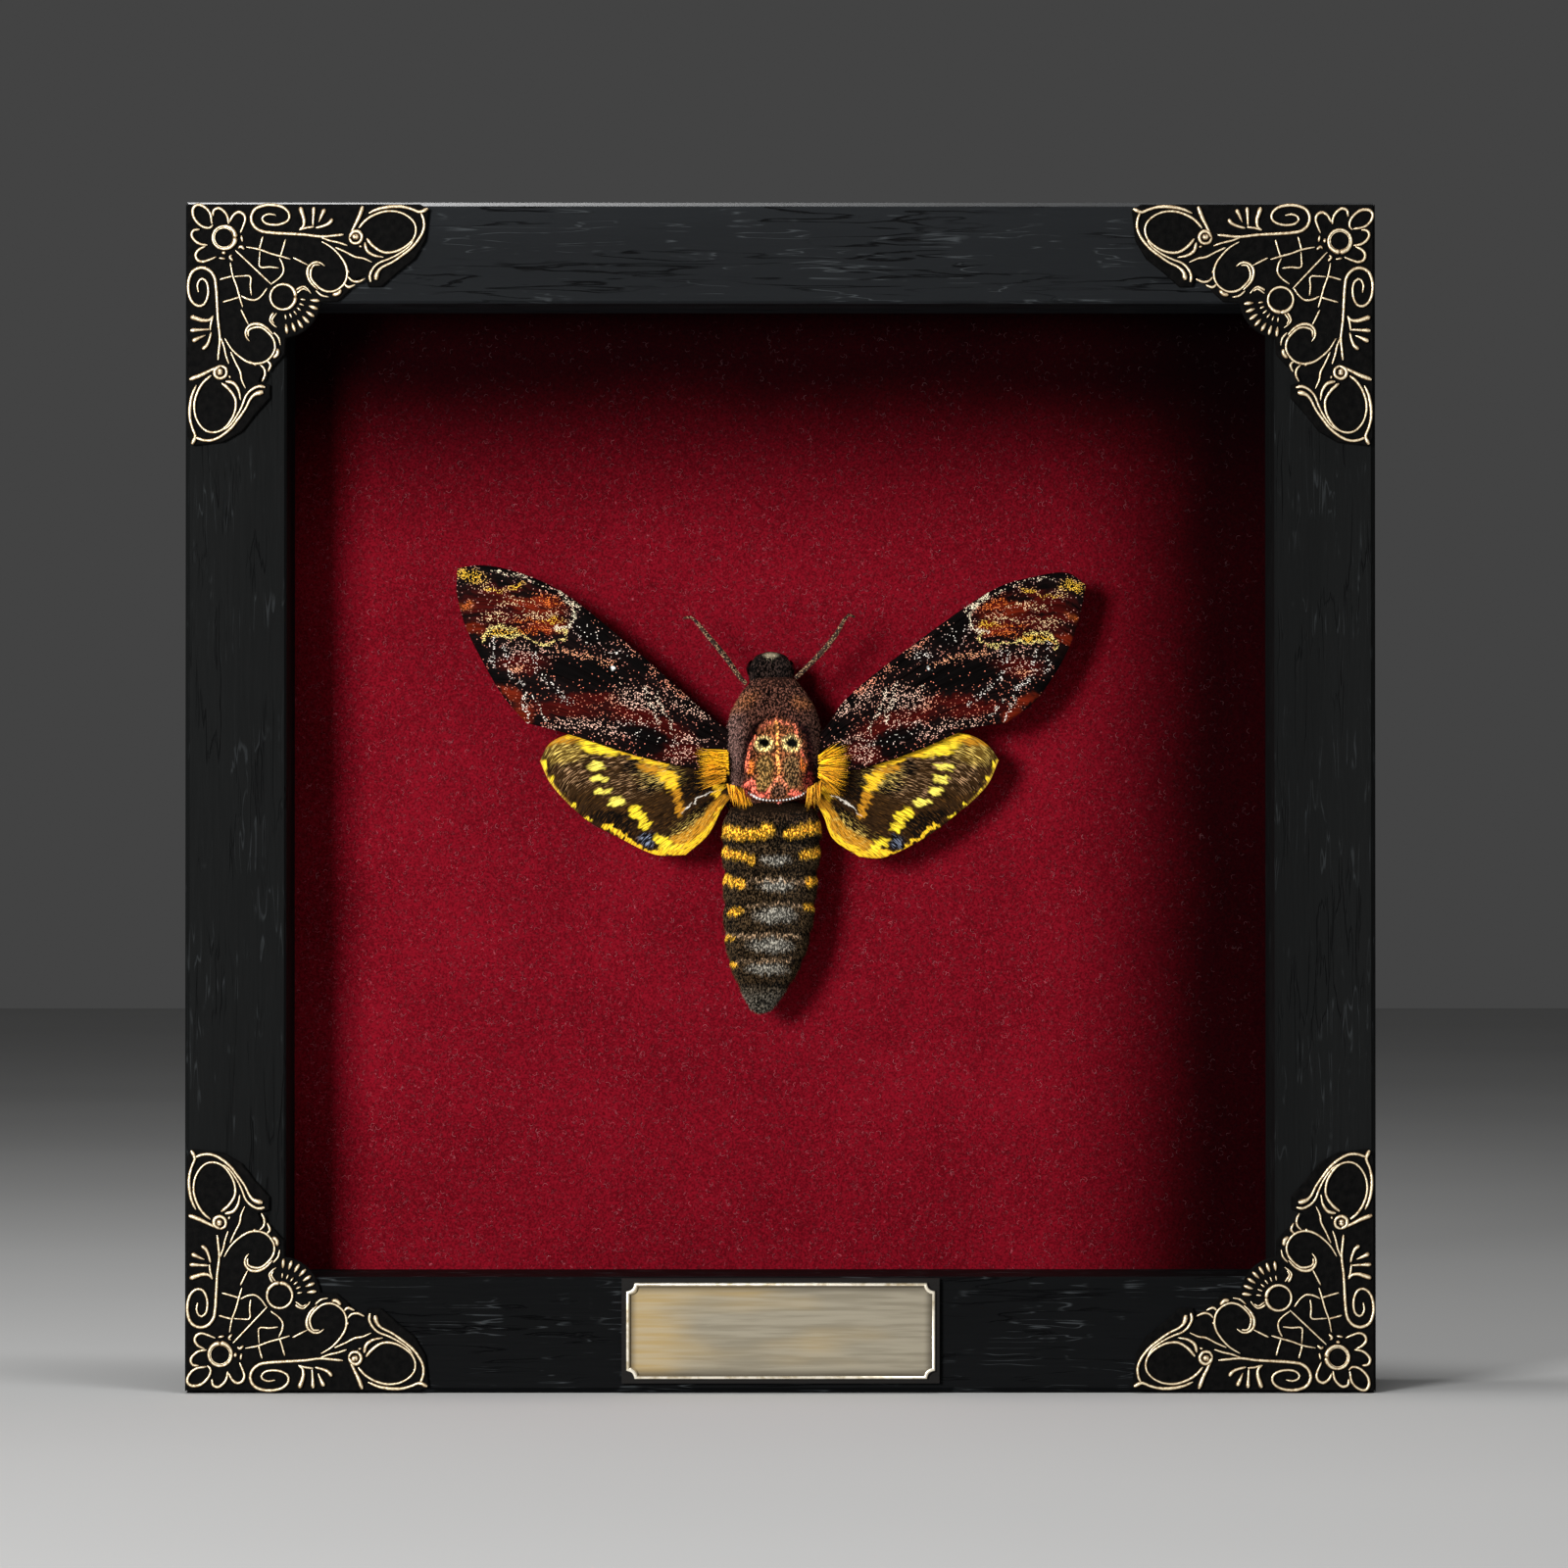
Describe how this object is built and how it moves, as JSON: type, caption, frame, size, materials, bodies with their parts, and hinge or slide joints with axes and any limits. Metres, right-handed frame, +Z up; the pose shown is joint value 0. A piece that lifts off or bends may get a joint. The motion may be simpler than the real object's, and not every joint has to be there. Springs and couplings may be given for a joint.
{
  "type": "framed hawkmoth specimen",
  "caption": "death's-head hawkmoth with spread wings mounted on crimson flock in a square black shadow-box frame with bronze filigree corners and a bare plaque",
  "frame": {"origin": "middle of the frame's footprint, on the surface that the bottom rail stands on", "axes": "+X to the right as the viewer faces the moth, +Y into the box towards its back, +Z up"},
  "size_m": [0.2, 0.0349, 0.2],
  "materials": {
    "black_wood": "black stained wood with an embossed wavy grain, satin",
    "crimson_flock": "crimson flock with pale lint",
    "brown_board": "pressed fibre board",
    "steel": "zinc-plated",
    "bronze": "cast bronze, darkened in the recesses and rubbed bright on the ridges",
    "plaque_bronze": "brushed bronze with golden patches",
    "thorax_fur": "dark fur with the pale skull mark",
    "abdomen_fur": "short fur, yellow side bands on dark olive",
    "forewing_scales": "dark brown and black scales with cream and gold marks",
    "hindwing_scales": "yellow scales with dark bands",
    "eye": "dark faceted eye, glossy",
    "chitin": "dark brown horn with short scales"
  },
  "bodies": {
    "root": {"rail_top": "black_wood", "rail_bottom": "black_wood", "rail_left": "black_wood", "rail_right": "black_wood", "backing_board": "crimson_flock", "back_panel": "brown_board", "turn_button_left_low": "steel", "turn_button_right_low": "steel", "turn_button_left_high": "steel", "turn_button_right_high": "steel", "hanger": "steel", "corner_top_left": "bronze", "corner_bottom_left": "bronze", "corner_bottom_right": "bronze", "corner_top_right": "bronze", "plaque": "plaque_bronze", "thorax": "thorax_fur", "head": "thorax_fur", "abdomen": "abdomen_fur", "forewing_left": "forewing_scales", "forewing_right": "forewing_scales", "hindwing_left": "hindwing_scales", "hindwing_right": "hindwing_scales", "antenna_left": "chitin", "antenna_right": "chitin", "eye_left": "eye", "eye_right": "eye", "leg_front_left": "chitin", "leg_front_right": "chitin", "leg_middle_left": "chitin", "leg_middle_right": "chitin", "leg_hind_left": "chitin", "leg_hind_right": "chitin", "pin_thorax": "steel", "pin_abdomen": "steel"}
  },
  "joints": []
}
